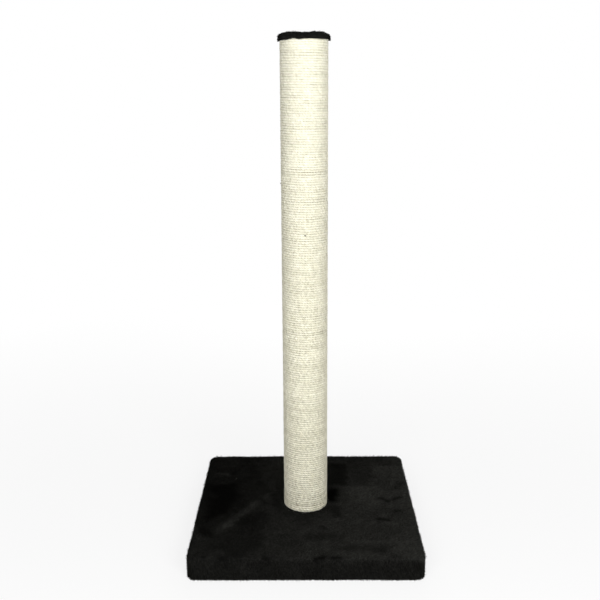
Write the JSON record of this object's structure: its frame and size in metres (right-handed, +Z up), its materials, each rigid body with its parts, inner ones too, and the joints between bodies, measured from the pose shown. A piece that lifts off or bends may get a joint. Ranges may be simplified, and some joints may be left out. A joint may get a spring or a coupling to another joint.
{
  "type": "cat scratching post",
  "caption": "Free-standing cat scratching post: sisal rope wound on a tall cardboard tube, bolted upright to a heavy square plush-covered base, with a plush cap.",
  "frame": {"origin": "middle of the base's underside, on the floor", "axes": "+Z up along the post, -Y towards the front, +X to the front viewer's right"},
  "size_m": [0.449, 0.449, 0.99],
  "materials": {
    "chipboard": "raw chipboard, fine light and dark chips",
    "plug_wood": "sawn softwood, unfinished",
    "black_plush": "short standing pile, matte with a faint nap sheen",
    "sisal": "bleached sisal rope, fibrous and matte",
    "kraft_tube": "spiral-wound kraft board",
    "zinc_steel": "bright zinc plate",
    "staple_steel": "galvanised wire",
    "foot_rubber": "matte foam rubber"
  },
  "bodies": {
    "root": {"base_board_lower": "chipboard", "base_board_upper": "chipboard", "base_board_screws": "zinc_steel", "base_plush_cover": "black_plush", "hem_staples": "staple_steel", "foot_pad_front_left": "foot_rubber", "foot_pad_front_right": "foot_rubber", "foot_pad_back_left": "foot_rubber", "foot_pad_back_right": "foot_rubber", "post_bolt": "zinc_steel", "lock_washer": "zinc_steel", "penny_washer": "zinc_steel", "tee_nut": "zinc_steel", "post_tube": "kraft_tube", "lower_plug": "plug_wood", "upper_plug": "plug_wood", "lower_plug_tacks": "zinc_steel", "upper_plug_tacks": "zinc_steel", "sisal_rope_lower_turns": "sisal", "sisal_winding": "sisal", "sisal_rope_upper_turns": "sisal", "rope_end_staples": "staple_steel", "cap_plush": "black_plush"}
  },
  "joints": []
}
